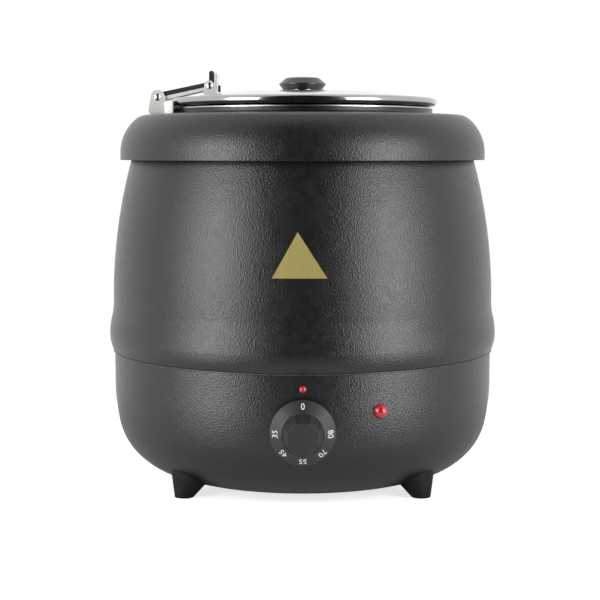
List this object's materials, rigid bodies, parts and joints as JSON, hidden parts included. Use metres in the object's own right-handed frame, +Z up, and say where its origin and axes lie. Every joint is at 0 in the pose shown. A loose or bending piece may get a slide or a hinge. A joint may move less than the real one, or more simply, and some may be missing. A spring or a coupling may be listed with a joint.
{
  "type": "soup kettle",
  "caption": "Round electric soup kettle with a beaded black housing on feet, a collar, a lift-out steel pot, a hinged steel lid with a knob, and a thermostat dial.",
  "frame": {"origin": "on the floor under the kettle's axis, between the feet", "axes": "+Z up along the kettle's axis, the dial faces -Y, the lid hinge is at -X"},
  "size_m": [0.3399, 0.392, 0.3556],
  "materials": {
    "black_coating": "black textured powder coating",
    "pot_steel": "satin stainless steel",
    "pan_steel": "plain stainless sheet",
    "plate_steel": "zinc-plated sheet",
    "zinc_fasteners": "zinc plated",
    "heater_sheath": "drawn stainless tube",
    "foot_rubber": "black moulded rubber",
    "control_housing": "black moulded resin",
    "capillary_copper": "drawn copper",
    "lead_sleeve": "silicone sleeving",
    "red_lens": "glossy red resin",
    "gland_plastic": "black moulded nylon",
    "hinge_steel": "stainless steel",
    "arm_steel": "polished stainless steel",
    "rivet_steel": "polished steel",
    "dark_screw": "black oxide",
    "lid_steel": "polished stainless steel",
    "knob_plastic": "black phenolic resin",
    "dial_plastic": "satin black moulded plastic"
  },
  "bodies": {
    "kettle": {"upper_shell": "black_coating", "lower_shell": "black_coating", "collar": "black_coating", "collar_screws": "zinc_fasteners", "inner_pot": "pot_steel", "water_pan": "pan_steel", "base_plate": "plate_steel", "tie_studs": "zinc_fasteners", "base_nuts": "zinc_fasteners", "clamp_nuts": "zinc_fasteners", "heater_ring": "heater_sheath", "heater_clamp": "plate_steel", "foot_front_left": "foot_rubber", "foot_front_right": "foot_rubber", "foot_rear_left": "foot_rubber", "foot_rear_right": "foot_rubber", "foot_screws": "zinc_fasteners", "foot_nuts": "zinc_fasteners", "thermostat_body": "control_housing", "thermostat_screws": "zinc_fasteners", "capillary_tube": "capillary_copper", "thermostat_bulb": "heater_sheath", "bulb_clip": "plate_steel", "thermal_cutout": "control_housing", "terminal_block": "control_housing", "terminal_screws": "zinc_fasteners", "internal_leads": "lead_sleeve", "lamp_lens": "red_lens", "lamp_body": "control_housing", "lamp_nut": "zinc_fasteners", "index_stud": "red_lens", "cord_gland": "gland_plastic", "gland_nut": "gland_plastic", "collar_bracket": "hinge_steel", "hinge_guard": "hinge_steel", "bracket_rivets": "rivet_steel", "base_pin": "rivet_steel"},
    "hinge_arm": {"hinge_arm": "arm_steel"},
    "lid": {"lid_dome": "lid_steel", "lid_knob": "knob_plastic", "knob_screw": "zinc_fasteners", "knob_washer": "zinc_fasteners", "lid_bracket": "hinge_steel", "lid_bracket_rivets": "rivet_steel", "lid_pin": "rivet_steel", "stop_screw": "dark_screw"},
    "dial": {"control_dial": "dial_plastic", "dial_spindle": "heater_sheath"}
  },
  "joints": [
    {"name": "lid_arm_hinge", "type": "hinge", "parent": "kettle", "child": "hinge_arm", "pos_m": [-0.126, 0, 0.3328], "axis": [0, -1, 0], "range_deg": [0, 105]},
    {"name": "lid_pivot", "type": "hinge", "parent": "hinge_arm", "child": "lid", "pos_m": [-0.08079, 0, 0.34258], "axis": [0, -1, 0], "range_deg": [0, 2]},
    {"name": "dial_turn", "type": "hinge", "parent": "kettle", "child": "dial", "pos_m": [0, -0.17, 0.0676], "axis": [0, 1, 0], "range_deg": [0, 270]}
  ]
}
